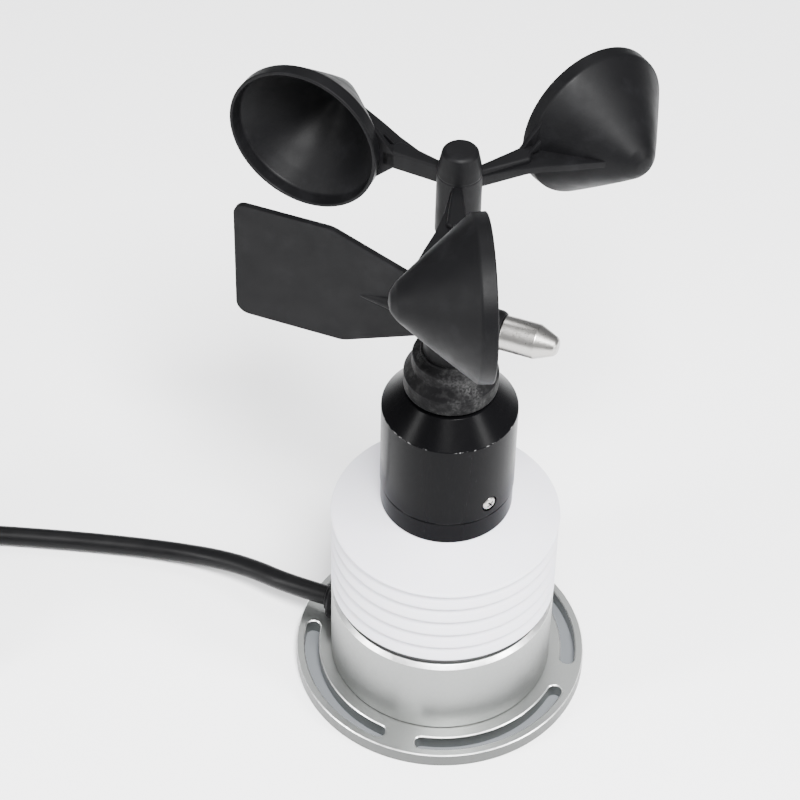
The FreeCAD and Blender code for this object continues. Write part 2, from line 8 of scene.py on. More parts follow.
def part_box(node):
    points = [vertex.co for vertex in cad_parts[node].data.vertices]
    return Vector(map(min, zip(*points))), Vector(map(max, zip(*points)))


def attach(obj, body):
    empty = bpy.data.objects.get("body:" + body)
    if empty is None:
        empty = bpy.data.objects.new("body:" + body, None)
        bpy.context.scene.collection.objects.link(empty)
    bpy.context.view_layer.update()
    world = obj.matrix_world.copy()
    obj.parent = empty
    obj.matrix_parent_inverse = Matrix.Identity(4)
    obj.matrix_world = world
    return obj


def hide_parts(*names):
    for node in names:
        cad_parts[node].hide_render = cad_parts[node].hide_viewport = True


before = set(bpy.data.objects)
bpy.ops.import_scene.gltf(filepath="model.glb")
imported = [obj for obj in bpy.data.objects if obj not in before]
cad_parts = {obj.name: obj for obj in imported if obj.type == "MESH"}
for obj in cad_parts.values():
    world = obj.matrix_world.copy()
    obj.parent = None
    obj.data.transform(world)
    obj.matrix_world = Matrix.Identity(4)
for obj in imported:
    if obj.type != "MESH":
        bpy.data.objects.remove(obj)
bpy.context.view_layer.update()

# Camera: heading about Z, height above the horizon and roll, in degrees
VIEW_HEADING = -27.5
VIEW_ELEVATION = 44.94
VIEW_ROLL = 1.40
VIEW_DISTANCE = 0.8895
VIEW_TARGET = Vector((-0.01417, 0.00737, 0.12433))
LENS = 125.46

# Azimuths of the parts, in degrees
CABLE_AZ = 135.0
VANE_AZ = 132.5
ROTOR_AZ = -112.0
HOUSING_SCREW_AZ = -78.8

# Wind housing, its screws and their pockets
HOUSING_WALL = 0.0021
SHOULDER_DROP = 0.0079
SHOULDER_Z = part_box("wind_housing")[1].z - SHOULDER_DROP
SCREW_COUNT = 2
POCKET_R = 0.0029
POCKET_DEPTH = 0.0010
POCKET_REACH = 0.0035
SHANK_R = 0.00125
HEAD_R = 0.00245
HEAD_SEAT_DEPTH = 0.0009
HEAD_HEIGHT = 0.0011
DRIVE_TURN = 35
DRIVE_ARM = 0.0013
DRIVE_HALF_WIDTH = 0.0003

# A face is a chamfer when the upward part of its normal lies between these two
CHAMFER_LOW = 0.2
CHAMFER_HIGH = 0.95

# Flange and its slots; upright faces further out than FLANGE_RIM_R are its outer rim
FLANGE_EDGE = 0.00035
FLANGE_RIM_R = 0.048
FLANGE_STEPS = 256
SLOT_MID_R = 0.0447
SLOT_WIDTH = 0.005
SLOT_SPAN = 70.0
SLOT_COUNT = 4

# Can, and the passage for the wires that runs up through its deck, the roof and the adapter
CAN_WALL = 0.0032
CAN_DECK = 0.003
CAN_EDGE = 0.0014
PASSAGE_R = 0.005

# Shield
LOUVRE_COUNT = 5
LOUVRE_RISE = 0.0076
POST_COUNT = 3
POST_R = 0.0019
POST_RING_R = 0.02625

# Cable gland, measured outwards along the cable
GLAND_R = 0.0074
GLAND_START = 0.030
GLAND_FACE = 0.0402

# Vane, measured outwards from its axis
VANE_BORE_R = 0.00605
HUB_R = 0.0092
HUB_SIDE = 0.0088
SOCKET_END = 0.0163
ROD_R = 0.0021
BLADE_TIP = 0.0734
BLADE_T = 0.0020

# Cups and arms
CUP_COUNT = 3
CUP_RING_R = 0.0504
CUP_SETBACK = 0.0039
CUP_R = 0.0246
CUP_DEPTH = 0.029
CUP_SKIRT = 0.0045
ARM_T = 0.0028
ARM_LOW = 0.2128
ARM_HIGH = 0.2194
FLARE_DOWN = -0.0090
FLARE_UP = 0.0107
FLARE_STEPS = 10

# Signal cable
CABLE_D = 0.007
CABLE_START_R = 0.027
CABLE_ROUTE = [
    (-0.0368, 0.0368, 0.0140),
    (-0.0488, 0.0604, 0.0094),
    (-0.0662, 0.0807, 0.0039),
    (-0.0945, 0.1000, 0.0035),
    (-0.1271, 0.1197, 0.0035),
]
COIL_CENTRE = (-0.1800, 0.1021)
COIL_MID_R = 0.039
COIL_TURNS = 4.2
COIL_PITCH = 0.0071
COIL_FLOOR = 0.001
COIL_START_AZ = 60.0
POINTS_PER_TURN = 16
STRAP_AZ = -30.0
STRAP_T = 0.001
STRAP_WIDTH = 0.012
STRAP_CORNER = 0.0022


# ---- geometry helpers ------------------------------------------------------------------

def polar(radius, degrees, z=0.0):
    angle = math.radians(degrees)
    return Vector((radius * math.cos(angle), radius * math.sin(angle), z))


def middle_z(node):
    low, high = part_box(node)
    return (low.z + high.z) / 2


def softened(profile, radius, steps=4):
    """The (radius, z) profile with each corner replaced by a small arc; ends on the axis stay sharp."""
    result = []
    count = len(profile)
    for i, (r, z) in enumerate(profile):
        here = Vector((r, z))
        before = Vector(profile[i - 1])
        after = Vector(profile[(i + 1) % count])
        if r < 1e-6:
            result.append((r, z))
            continue
        to_before = before - here
        to_after = after - here
        reach = min(radius, 0.4 * to_before.length, 0.4 * to_after.length)
        start = here + to_before.normalized() * reach
        end = here + to_after.normalized() * reach
        for k in range(steps + 1):
            t = k / steps
            point = (1 - t) ** 2 * start + 2 * t * (1 - t) * here + t ** 2 * end
            result.append((point.x, point.y))
    return result


def finish_mesh(name, mesh, material, body, nodes, sharp=35.0):
    """Shared end of every mesh piece: shading, material, the body it rides on and the nodes it replaces."""
    mesh.shade_smooth()
    mesh.set_sharp_from_angle(angle=math.radians(sharp))
    piece = bpy.data.objects.new(name, mesh)
    bpy.context.scene.collection.objects.link(piece)
    normals = piece.modifiers.new("normals", "WEIGHTED_NORMAL")
    normals.keep_sharp = True
    if not mesh.materials:
        mesh.materials.append(material)
    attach(piece, body)
    if nodes:
        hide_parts(*nodes)
    return piece


def lathe_mesh(name, profile, segments=160):
    """A closed ring of (radius, z) points turned about Z."""
    mesh = bpy.data.meshes.new(name)
    bm = bmesh.new()
    rings = []
    for i in range(segments):
        angle = 2 * math.pi * i / segments
        ring = [bm.verts.new((r * math.cos(angle), r * math.sin(angle), z)) for r, z in profile]
        rings.append(ring)
    count = len(profile)
    for i in range(segments):
        here = rings[i]
        there = rings[(i + 1) % segments]
        for j in range(count):
            k = (j + 1) % count
            if profile[j][0] < 1e-6 and profile[k][0] < 1e-6:
                continue
            bm.faces.new((here[j], there[j], there[k], here[k]))
    bmesh.ops.remove_doubles(bm, verts=bm.verts, dist=1e-7)
    bmesh.ops.recalc_face_normals(bm, faces=bm.faces)
    bm.to_mesh(mesh)
    bm.free()
    return mesh


def lathe(name, profile, material, body, nodes=(), corner=0.0002, place=None, segments=160):
    mesh = lathe_mesh(name, softened(profile, corner), segments)
    if place is not None:
        mesh.transform(place)
    return finish_mesh(name, mesh, material, body, nodes)


def along(azimuth, height):
    """Places something that was turned about Z so that it lies along an azimuth at that height."""
    return (Matrix.Translation((0, 0, height)) @ Matrix.Rotation(math.radians(azimuth), 4, "Z")
            @ Matrix.Rotation(math.radians(90), 4, "Y"))


def joined(name, meshes):
    """One mesh from several, without welding them."""
    result = bpy.data.meshes.new(name)
    bm = bmesh.new()
    for mesh in meshes:
        bm.from_mesh(mesh)
    bm.to_mesh(result)
    bm.free()
    return result


def prism_mesh(name, outline, axis, low, high, edge=0.0003, steps=2):
    """An outline (pairs in the plane square to axis) pushed from low to high, with bevelled edges."""
    mesh = bpy.data.meshes.new(name)
    bm = bmesh.new()

    def corner(a, b, depth):
        if axis == "Z":
            return (a, b, depth)
        return (a, depth, b)

    bottom = [bm.verts.new(corner(a, b, low)) for a, b in outline]
    top = [bm.verts.new(corner(a, b, high)) for a, b in outline]
    bm.faces.new(bottom)
    bm.faces.new(top)
    for i in range(len(outline)):
        k = (i + 1) % len(outline)
        bm.faces.new((bottom[i], bottom[k], top[k], top[i]))
    bmesh.ops.recalc_face_normals(bm, faces=bm.faces)
    if edge > 0:
        bmesh.ops.bevel(bm, geom=list(bm.edges), offset=edge, segments=steps, affect="EDGES", profile=0.6)
    bm.to_mesh(mesh)
    bm.free()
    return mesh


def rounded_polygon(corners, steps=6):
    """Corners (a, b, rounding) to a list of points with each corner rounded."""
    points = []
    count = len(corners)
    for i, (a, b, rounding) in enumerate(corners):
        here = Vector((a, b))
        if rounding == 0:
            points.append((a, b))
            continue
        back = (Vector(corners[i - 1][:2]) - here).normalized()
        ahead = (Vector(corners[(i + 1) % count][:2]) - here).normalized()
        half = back.angle(ahead) / 2
        centre = here + (back + ahead).normalized() * (rounding / math.sin(half))
        start = here + back * (rounding / math.tan(half)) - centre
        end = here + ahead * (rounding / math.tan(half)) - centre
        first = math.atan2(start.y, start.x)
        sweep = (math.atan2(end.y, end.x) - first + math.pi) % (2 * math.pi) - math.pi
        for k in range(steps + 1):
            angle = first + sweep * k / steps
            points.append((centre.x + rounding * math.cos(angle), centre.y + rounding * math.sin(angle)))
    return points


# ---- materials -------------------------------------------------------------------------

class Look:
    """A Principled material with helpers for grain, bump and colour variation in object space."""

    def __init__(self, name, colour, roughness, metallic=0.0, specular=0.5):
        self.material = bpy.data.materials.new(name)
        self.material.use_nodes = True
        self.tree = self.material.node_tree
        self.shader = self.tree.nodes["Principled BSDF"]
        self.shader.inputs["Base Color"].default_value = (*colour, 1)
        self.shader.inputs["Roughness"].default_value = roughness
        self.shader.inputs["Metallic"].default_value = metallic
        self.shader.inputs["Specular IOR Level"].default_value = specular
        self.colour = colour
        self.roughness = roughness
        self.coords = self.tree.nodes.new("ShaderNodeTexCoord").outputs["Object"]
        self.normal = None

    def link(self, a, b):
        self.tree.links.new(a, b)

    def noise(self, scale, detail=3.0, stretch=(1, 1, 1), rough=0.5):
        mapping = self.tree.nodes.new("ShaderNodeMapping")
        mapping.inputs["Scale"].default_value = stretch
        self.link(self.coords, mapping.inputs["Vector"])
        node = self.tree.nodes.new("ShaderNodeTexNoise")
        node.inputs["Scale"].default_value = scale
        node.inputs["Detail"].default_value = detail
        node.inputs["Roughness"].default_value = rough
        self.link(mapping.outputs["Vector"], node.inputs["Vector"])
        return node.outputs["Fac"]

    def cells(self, scale):
        node = self.tree.nodes.new("ShaderNodeTexVoronoi")
        node.inputs["Scale"].default_value = scale
        self.link(self.coords, node.inputs["Vector"])
        return node.outputs["Distance"]

    def arithmetic(self, operation, value, other):
        """One arithmetic step; other is a number or a socket."""
        node = self.tree.nodes.new("ShaderNodeMath")
        node.operation = operation
        self.link(value, node.inputs[0])
        if isinstance(other, float):
            node.inputs[1].default_value = other
        else:
            self.link(other, node.inputs[1])
        return node.outputs["Value"]

    def product(self, value, other):
        return self.arithmetic("MULTIPLY", value, other)

    def distance(self):
        """How far a point is from the origin."""
        node = self.tree.nodes.new("ShaderNodeVectorMath")
        node.operation = "LENGTH"
        self.link(self.coords, node.inputs[0])
        return node.outputs["Value"]

    def level(self, height, half):
        """1 at that height above the base, falling to 0 at half above or below it."""
        split = self.tree.nodes.new("ShaderNodeSeparateXYZ")
        self.link(self.coords, split.inputs["Vector"])
        away = self.arithmetic("SUBTRACT", split.outputs["Z"], height)
        away = self.arithmetic("ABSOLUTE", away, 0.0)
        return self.range(away, 0.0, half, 1.0, 0.0)

    def range(self, value, low, high, to_low, to_high):
        node = self.tree.nodes.new("ShaderNodeMapRange")
        node.inputs["From Min"].default_value = low
        node.inputs["From Max"].default_value = high
        node.inputs["To Min"].default_value = to_low
        node.inputs["To Max"].default_value = to_high
        self.link(value, node.inputs["Value"])
        return node.outputs["Result"]

    def bump(self, height, strength, distance):
        node = self.tree.nodes.new("ShaderNodeBump")
        node.inputs["Strength"].default_value = strength
        node.inputs["Distance"].default_value = distance
        self.link(height, node.inputs["Height"])
        if self.normal is not None:
            self.link(self.normal, node.inputs["Normal"])
        self.normal = node.outputs["Normal"]
        self.link(self.normal, self.shader.inputs["Normal"])
        return self

    def vary_roughness(self, value, spread):
        result = self.range(value, 0.3, 0.7, self.roughness - spread, self.roughness + spread)
        self.link(result, self.shader.inputs["Roughness"])
        return self

    def mix_colour(self, mask, other):
        """Paints other over what the base colour is now, where mask is 1."""
        node = self.tree.nodes.new("ShaderNodeMix")
        node.data_type = "RGBA"
        socket = self.shader.inputs["Base Color"]
        if socket.is_linked:
            self.link(socket.links[0].from_socket, node.inputs["A"])
        else:
            node.inputs["A"].default_value = (*self.colour, 1)
        node.inputs["B"].default_value = (*other, 1)
        self.link(mask, node.inputs["Factor"])
        self.link(node.outputs["Result"], socket)
        return self


def blasted_aluminium(name, shade):
    """Blasted and clear anodised metal; shade scales how light it is."""
    look = Look(name, (0.250 * shade, 0.256 * shade, 0.250 * shade), 0.42, metallic=1.0)
    grain = look.noise(4200, 2.0)
    look.bump(grain, 0.25, 0.00004)
    look.vary_roughness(look.noise(900, 3.0), 0.05)
    mottled = (0.215 * shade, 0.221 * shade, 0.218 * shade)
    look.mix_colour(look.range(look.noise(60, 4.0), 0.35, 0.7, 0.0, 0.25), mottled)
    return look.material


def bright_chamfer():
    """Freshly cut metal: brighter than the blasted faces, with fine turning marks."""
    look = Look("bright_chamfer", (0.92, 0.92, 0.91), 0.36, metallic=1.0)
    look.bump(look.noise(1400, 3.0), 0.30, 0.00005)
    look.vary_roughness(look.noise(500), 0.06)
    look.mix_colour(look.range(look.noise(700, 4.0), 0.45, 0.75, 0.0, 0.5), (0.70, 0.70, 0.69))
    return look.material


def white_plastic():
    look = Look("white_plastic", (0.64, 0.635, 0.685), 0.52, specular=0.30)
    look.shader.inputs["Subsurface Weight"].default_value = 0.08
    look.shader.inputs["Subsurface Scale"].default_value = 0.001
    look.bump(look.noise(2600, 3.0), 0.12, 0.00004)
    look.vary_roughness(look.noise(240), 0.05)
    look.mix_colour(look.range(look.noise(35, 3.0), 0.4, 0.75, 0.0, 0.2), (0.60, 0.595, 0.64))
    return look.material


def black_anodised():
    """Smooth black with sparse specks, worn bright along the shoulder's edge."""
    look = Look("black_anodised", (0.0022, 0.0022, 0.0025), 0.24, specular=0.035)
    look.bump(look.noise(3600, 2.0), 0.03, 0.00002)
    look.bump(look.noise(160, 2.0, (1, 1, 22)), 0.03, 0.00002)
    look.vary_roughness(look.noise(420), 0.02)
    dust = look.range(look.cells(150), 0.008, 0.016, 0.8, 0.0)
    look.mix_colour(dust, (0.08, 0.08, 0.085))
    edge = look.level(SHOULDER_Z, 0.00022)
    worn = look.range(look.noise(260, 5.0, rough=0.7), 0.55, 0.62, 0.0, 0.9)
    look.mix_colour(look.product(edge, worn), (0.22, 0.22, 0.22))
    return look.material


def black_plastic():
    look = Look("black_plastic", (0.0028, 0.0028, 0.0031), 0.48, specular=0.062)
    look.bump(look.noise(2200, 4.0, rough=0.65), 0.32, 0.00006)
    look.vary_roughness(look.noise(130, 4.0), 0.07)
    rubbed = look.range(look.noise(95, 5.0, rough=0.7), 0.52, 0.75, 0.0, 0.55)
    look.mix_colour(rubbed, (0.0068, 0.0068, 0.0075))
    dust = look.range(look.cells(160), 0.012, 0.022, 0.7, 0.0)
    look.mix_colour(dust, (0.03, 0.03, 0.03))
    return look.material


def spark_textured_plastic():
    """Moulded black plastic with a coarse eroded tool texture, rubbed lighter in patches."""
    look = Look("spark_textured_plastic", (0.0042, 0.0042, 0.0045), 0.52, specular=0.04)
    look.bump(look.noise(700, 4.0, rough=0.7), 0.60, 0.00018)
    look.bump(look.cells(1500), 0.25, 0.00008)
    look.vary_roughness(look.noise(260, 4.0), 0.12)
    look.mix_colour(look.range(look.noise(420, 4.0), 0.5, 0.75, 0.0, 0.6), (0.020, 0.020, 0.020))
    rubbed = look.product(look.range(look.noise(75, 4.0, rough=0.65), 0.5, 0.68, 0.0, 1.0),
                          look.range(look.noise(1300, 3.0), 0.40, 0.62, 0.1, 0.9))
    look.mix_colour(rubbed, (0.040, 0.040, 0.040))
    return look.material


def turned_steel():
    look = Look("turned_steel", (0.36, 0.350, 0.335), 0.30, metallic=1.0)
    look.bump(look.noise(2600, 2.0), 0.08, 0.00002)
    look.vary_roughness(look.noise(1400, 2.0), 0.03)
    look.mix_colour(look.range(look.noise(520, 3.0), 0.45, 0.75, 0.0, 0.25), (0.31, 0.30, 0.285))
    return look.material


def cable_jacket():
    look = Look("cable_jacket", (0.0040, 0.0040, 0.0043), 0.38, specular=0.10)
    look.bump(look.noise(900, 3.0), 0.10, 0.00005)
    look.bump(look.noise(60, 2.0), 0.15, 0.0002)
    look.vary_roughness(look.noise(180), 0.06)
    return look.material


def plain_part(name, colour, roughness, metallic=0.0, grain=1500):
    """Finish of parts that are mostly hidden: a base colour with grain and slight mottling."""
    look = Look(name, colour, roughness, metallic)
    look.bump(look.noise(grain, 3.0), 0.15, 0.00004)
    look.vary_roughness(look.noise(300), 0.06)
    darker = tuple(0.7 * channel for channel in colour)
    look.mix_colour(look.range(look.noise(120, 4.0), 0.4, 0.75, 0.0, 0.5), darker)
    return look.material


def floor_material():
    """White paper with painted shade under the flange: a grey disc that shows only through the slots."""
    look = Look("floor_paper_and_painted_shade", (0.93, 0.93, 0.935), 0.9, specular=0.1)
    look.bump(look.noise(500, 3.0), 0.05, 0.00005)
    # Painted shade: the floor under the flange is grey, for the ground in shadow seen through the slots
    hidden = look.range(look.distance(), FLANGE_RIM_R, FLANGE_RIM_R + 0.001, 1.0, 0.0)
    look.mix_colour(hidden, (0.115, 0.122, 0.130))
    return look.material


# The flange's flat faces use a lighter copy of the blasted metal as painted light, its outer rim a darker
# copy as painted shade
ALUMINIUM = blasted_aluminium("blasted_aluminium", 1.0)
FLANGE_FACE_PAINTED_LIGHT = blasted_aluminium("flange_face_painted_light", 1.28)
FLANGE_RIM_PAINTED_SHADE = blasted_aluminium("flange_rim_painted_shade", 0.38)
CHAMFER = bright_chamfer()
WHITE = white_plastic()
ANODISED = black_anodised()
BLACK = black_plastic()
SPARK = spark_textured_plastic()
STEEL = turned_steel()
JACKET = cable_jacket()


# ---- camera, floor and light -----------------------------------------------------------

def make_camera():
    camera = bpy.data.objects.new("camera", bpy.data.cameras.new("camera"))
    bpy.context.scene.collection.objects.link(camera)
    camera.data.sensor_width = 36
    camera.data.lens = LENS
    camera.data.clip_start = 0.05
    camera.data.clip_end = 20
    turn = (Matrix.Rotation(math.radians(VIEW_HEADING), 4, "Z")
            @ Matrix.Rotation(math.radians(90 - VIEW_ELEVATION), 4, "X")
            @ Matrix.Rotation(math.radians(VIEW_ROLL), 4, "Z"))
    back = turn @ Vector((0, 0, VIEW_DISTANCE))
    camera.matrix_world = Matrix.Translation(VIEW_TARGET + back) @ turn
    bpy.context.scene.camera = camera


def make_floor():
    bpy.ops.mesh.primitive_plane_add(size=8, location=(0, 0, 0))
    floor = bpy.context.object
    floor.name = "floor"
    floor.data.materials.append(floor_material())


def add_light(name, heading, elevation, distance, size, power):
    """An area light that looks at the object's middle; heading is counted from the camera's."""
    data = bpy.data.lights.new(name, "AREA")
    data.shape = "RECTANGLE"
    data.size, data.size_y = size
    data.energy = power
    light = bpy.data.objects.new(name, data)
    bpy.context.scene.collection.objects.link(light)
    angle = math.radians(VIEW_HEADING + heading)
    rise = math.radians(elevation)
    out = Vector((math.sin(angle) * math.cos(rise), -math.cos(angle) * math.cos(rise), math.sin(rise)))
    light.location = VIEW_TARGET + distance * out
    light.rotation_euler = (-out).to_track_quat("-Z", "Y").to_euler()


def make_world():
    world = bpy.data.worlds.new("studio")
    bpy.context.scene.world = world
    world.use_nodes = True
    background = world.node_tree.nodes["Background"]
    background.inputs["Color"].default_value = (0.95, 0.965, 1.0, 1)
    background.inputs["Strength"].default_value = 0.36


def make_lights():
    add_light("key_top", 14, 60, 1.3, (0.40, 0.40), 72)
    add_light("front_fill", -6, 47, 1.9, (0.5, 0.5), 12)
    add_light("left_strip", -66, 26, 1.1, (0.16, 0.9), 14)
    add_light("right_strip", 62, 28, 1.1, (0.18, 0.9), 17)
    add_light("back_rim", 165, 62, 1.4, (0.8, 0.5), 8)


# ---- signal cable ----------------------------------------------------------------------

def cable_points():
    points = [polar(CABLE_START_R, CABLE_AZ, CABLE_ROUTE[0][2])]
    points += [Vector(point) for point in CABLE_ROUTE]
    turns = int(COIL_TURNS * POINTS_PER_TURN)
    base = COIL_FLOOR + CABLE_D / 2
    swell = COIL_MID_R / math.cos(math.pi / POINTS_PER_TURN)
    for step in range(turns + 1):
        turn = step / POINTS_PER_TURN
        spot = polar(swell, COIL_START_AZ + 360 * turn, base + COIL_PITCH * turn)
        points.append(spot + Vector((*COIL_CENTRE, 0)))
    return points


def signal_cable():
    data = bpy.data.curves.new("cable", "CURVE")
    data.dimensions = "3D"
    data.resolution_u = 12
    data.bevel_depth = CABLE_D / 2
    data.bevel_resolution = 10
    data.use_fill_caps = True
    spline = data.splines.new("NURBS")
    points = cable_points()
    spline.points.add(len(points) - 1)
    for target, source in zip(spline.points, points):
        target.co = (*source, 1)
    spline.order_u = 3
    spline.use_endpoint_u = True
    cable = bpy.data.objects.new("cable", data)
    bpy.context.scene.collection.objects.link(cable)
    data.materials.append(JACKET)
    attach(cable, "station")
    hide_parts("signal_cable", "cable_coil")
    ends = [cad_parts["core_leads"], coil_strap()]


def coil_strap():
    """A hook-and-loop band round the turns of the coil."""
    low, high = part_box("coil_tie")
    half = CABLE_D / 2
    side = STRAP_WIDTH / 2

    def ring(grow):
        corner = STRAP_CORNER - STRAP_T + grow
        left = -half - grow
        right = half + grow
        bottom = low.z + STRAP_T - grow
        top = high.z - STRAP_T + grow
        return rounded_polygon([(left, bottom, corner), (right, bottom, corner), (right, top, corner),
                                (left, top, corner)])

    band = prism_mesh("band", ring(STRAP_T), "Y", -side, side, 0.0002)
    core = prism_mesh("core", ring(0), "Y", -1.5 * side, 1.5 * side, 0)
    band = carved(band, [core])
    spot = polar(COIL_MID_R, STRAP_AZ) + Vector((*COIL_CENTRE, 0))
    band.transform(Matrix.Translation(spot) @ Matrix.Rotation(math.radians(STRAP_AZ), 4, "Z"))
    weave = plain_part("strap_weave", (0.010, 0.010, 0.011), 0.85, grain=2400)
    strap = finish_mesh("coil_strap", band, weave, "station", ("coil_tie",))
    return strap


# ---- base ------------------------------------------------------------------------------

def slot_outline(middle, steps=28, round_steps=10):
    """Points round one arc slot centred on an azimuth."""
    points = []
    half = SLOT_WIDTH / 2
    for step in range(steps + 1):
        points.append(polar(SLOT_MID_R + half, middle - SLOT_SPAN / 2 + SLOT_SPAN * step / steps))
    end = polar(SLOT_MID_R, middle + SLOT_SPAN / 2)
    for step in range(1, round_steps):
        points.append(end + polar(half, middle + SLOT_SPAN / 2 + 180 * step / round_steps))
    for step in range(steps + 1):
        points.append(polar(SLOT_MID_R - half, middle + SLOT_SPAN / 2 - SLOT_SPAN * step / steps))
    start = polar(SLOT_MID_R, middle - SLOT_SPAN / 2)
    for step in range(1, round_steps):
        points.append(start + polar(half, middle - SLOT_SPAN / 2 + 180 + 180 * step / round_steps))
    return points


def add_loop(data, points):
    spline = data.splines.new("POLY")
    spline.points.add(len(points) - 1)
    for target, source in zip(spline.points, points):
        target.co = (source.x, source.y, 0, 1)
    spline.use_cyclic_u = True


def mount_flange():
    """The flange with bright cut edges, a lighter face as painted light and a darker outer rim as painted
    shade, from its outline and slots with a chamfer all round.
    """
    low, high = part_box("mount_flange")
    data = bpy.data.curves.new("flange_outline", "CURVE")
    data.dimensions = "2D"
    data.fill_mode = "BOTH"
    add_loop(data, [polar(high.x, 360 * step / FLANGE_STEPS) for step in range(FLANGE_STEPS)])
    for index in range(SLOT_COUNT):
        add_loop(data, slot_outline(360 * index / SLOT_COUNT))
    data.offset = -FLANGE_EDGE
    data.bevel_depth = FLANGE_EDGE
    data.bevel_resolution = 0
    data.extrude = (high.z - low.z) / 2 - FLANGE_EDGE
    source = bpy.data.objects.new("flange_outline", data)
    bpy.context.scene.collection.objects.link(source)
    bpy.context.view_layer.update()
    mesh = bpy.data.meshes.new_from_object(source)
    bpy.data.objects.remove(source)
    mesh.transform(Matrix.Translation((0, 0, middle_z("mount_flange"))))
    mesh.materials.clear()
    for material in (FLANGE_FACE_PAINTED_LIGHT, CHAMFER, FLANGE_RIM_PAINTED_SHADE, ALUMINIUM):
        mesh.materials.append(material)
    # Flat faces keep the lighter copy (painted light); upright faces of the outer rim get the darker copy
    # (painted shade), the slot walls the plain metal
    for face in mesh.polygons:
        if CHAMFER_LOW < face.normal.z < CHAMFER_HIGH:
            face.material_index = 1
        elif abs(face.normal.z) <= CHAMFER_LOW:
            face.material_index = 2 if face.center.xy.length > FLANGE_RIM_R else 3
    flange = finish_mesh("flange", mesh, FLANGE_FACE_PAINTED_LIGHT, "station", ("mount_flange",), sharp=20)


def base_can():
    """The can and its deck, with a bright chamfer round the top."""
    low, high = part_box("base_can")
    radius = high.x
    inner = radius - CAN_WALL
    deck = high.z - CAN_DECK
    profile = [(PASSAGE_R, high.z), (radius - CAN_EDGE, high.z), (radius, high.z - CAN_EDGE),
               (radius, low.z), (inner, low.z), (inner, deck), (PASSAGE_R, deck)]
    mesh = lathe_mesh("can", softened(profile, 0.00012, 2), 192)
    mesh.materials.append(ALUMINIUM)
    mesh.materials.append(CHAMFER)
    for face in mesh.polygons:
        at_top = face.center.z > high.z - 1.2 * CAN_EDGE
        if at_top and CHAMFER_LOW < face.normal.z < CHAMFER_HIGH:
            face.material_index = 1
    can = finish_mesh("can", mesh, ALUMINIUM, "station", ("base_can",))


def gland():
    """The cable's entry: a low round flange with a rolled lip and a collar round the cable."""
    face = GLAND_FACE
    hole = CABLE_D / 2 + 0.00005
    profile = [(hole, GLAND_START), (0.0058, GLAND_START), (0.0058, 0.037), (GLAND_R, 0.037),
               (GLAND_R, face - 0.0008), (GLAND_R - 0.0008, face), (0.0052, face),
               (0.0046, face + 0.0012), (hole, face + 0.0016)]
    piece = lathe("gland", profile, BLACK, "station", ("gland_body",), 0.0003,
                  along(CABLE_AZ, CABLE_ROUTE[0][2]), 96)


# ---- shield ----------------------------------------------------------------------------

def louvres():
    """The white rings: a thin skirt that curves over into a shallow roof with a flat inner rim."""
    for index in range(LOUVRE_COUNT):
        node = "louvre_%d" % (index + 1)
        low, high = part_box(node)
        z = low.z
        r = high.x
        profile = [(r - 0.0014, z), (r, z), (r, z + 0.0009), (r - 0.0006, z + 0.0030),
                   (r - 0.0016, z + 0.0050), (r - 0.0027, z + 0.0060), (r - 0.0095, z + LOUVRE_RISE),
                   (r - 0.014, z + LOUVRE_RISE), (r - 0.014, z + 0.0063), (r - 0.0098, z + 0.0063),
                   (r - 0.0030, z + 0.0050), (r - 0.0022, z + 0.0039), (r - 0.0014, z + 0.001)]
        ring = lathe("louvre_ring_%d" % (index + 1), profile, WHITE, "station", (node,), 0.00035)


def louvre_posts():
    """The posts that keep the louvres apart, seen only through the gaps."""
    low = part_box("louvre_1")[0].z + LOUVRE_RISE
    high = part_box("louvre_%d" % LOUVRE_COUNT)[1].z
    profile = softened([(0, low), (POST_R, low), (POST_R, high), (0, high)], 0.0002)
    meshes = []
    for index in range(POST_COUNT):
        post = lathe_mesh("post", profile, 32)
        post.transform(Matrix.Translation(polar(POST_RING_R, 360 * index / POST_COUNT)))
        meshes.append(post)
    posts = finish_mesh("louvre_posts", joined("louvre_posts", meshes), WHITE, "station", ())


def cap_plate():
    """The roof: a shallow cone with a thin rim."""
    low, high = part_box("cap_plate")
    radius = high.x
    rim = low.z + 0.0007
    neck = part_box("adapter_ring")[1].x - 0.0003
    profile = [(radius - 0.0016, low.z), (radius, low.z), (radius, rim), (radius - 0.0005, rim + 0.0005),
               (0.030, high.z - 0.0036), (neck, high.z), (PASSAGE_R, high.z), (PASSAGE_R, high.z - 0.0065),
               (0.029, high.z - 0.0065), (radius - 0.0019, low.z + 0.0005)]
    cap = lathe("cap", profile, WHITE, "station", ("cap_plate",), 0.0004, None, 192)


# ---- wind housing ----------------------------------------------------------------------

def adapter_ring():
    """The ring under the housing, with a spigot that the housing sits on."""
    low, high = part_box("adapter_ring")
    radius = high.x
    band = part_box("wind_housing")[0].z
    profile = [(PASSAGE_R, low.z), (radius - 0.0004, low.z), (radius, low.z + 0.0004),
               (radius, band - 0.0008), (radius - 0.0006, band - 0.0003), (0.0199, band - 0.0003),
               (0.0199, high.z), (0.0175, high.z), (0.0175, low.z + 0.004), (PASSAGE_R, low.z + 0.004)]
    ring = lathe("adapter", profile, ANODISED, "station", ("adapter_ring",), 0.0002)


def carved(mesh, cutters):
    """The mesh with the cutters taken out of it."""
    work = bpy.data.objects.new("carved", mesh)
    tool = bpy.data.objects.new("cutters", joined("cutters", cutters))
    for piece in (work, tool):
        bpy.context.scene.collection.objects.link(piece)
    carve = work.modifiers.new("carve", "BOOLEAN")
    carve.object = tool
    carve.operation = "DIFFERENCE"
    bpy.context.view_layer.update()
    result = bpy.data.meshes.new_from_object(work.evaluated_get(bpy.context.evaluated_depsgraph_get()))
    bpy.data.objects.remove(work)
    bpy.data.objects.remove(tool)
    return result


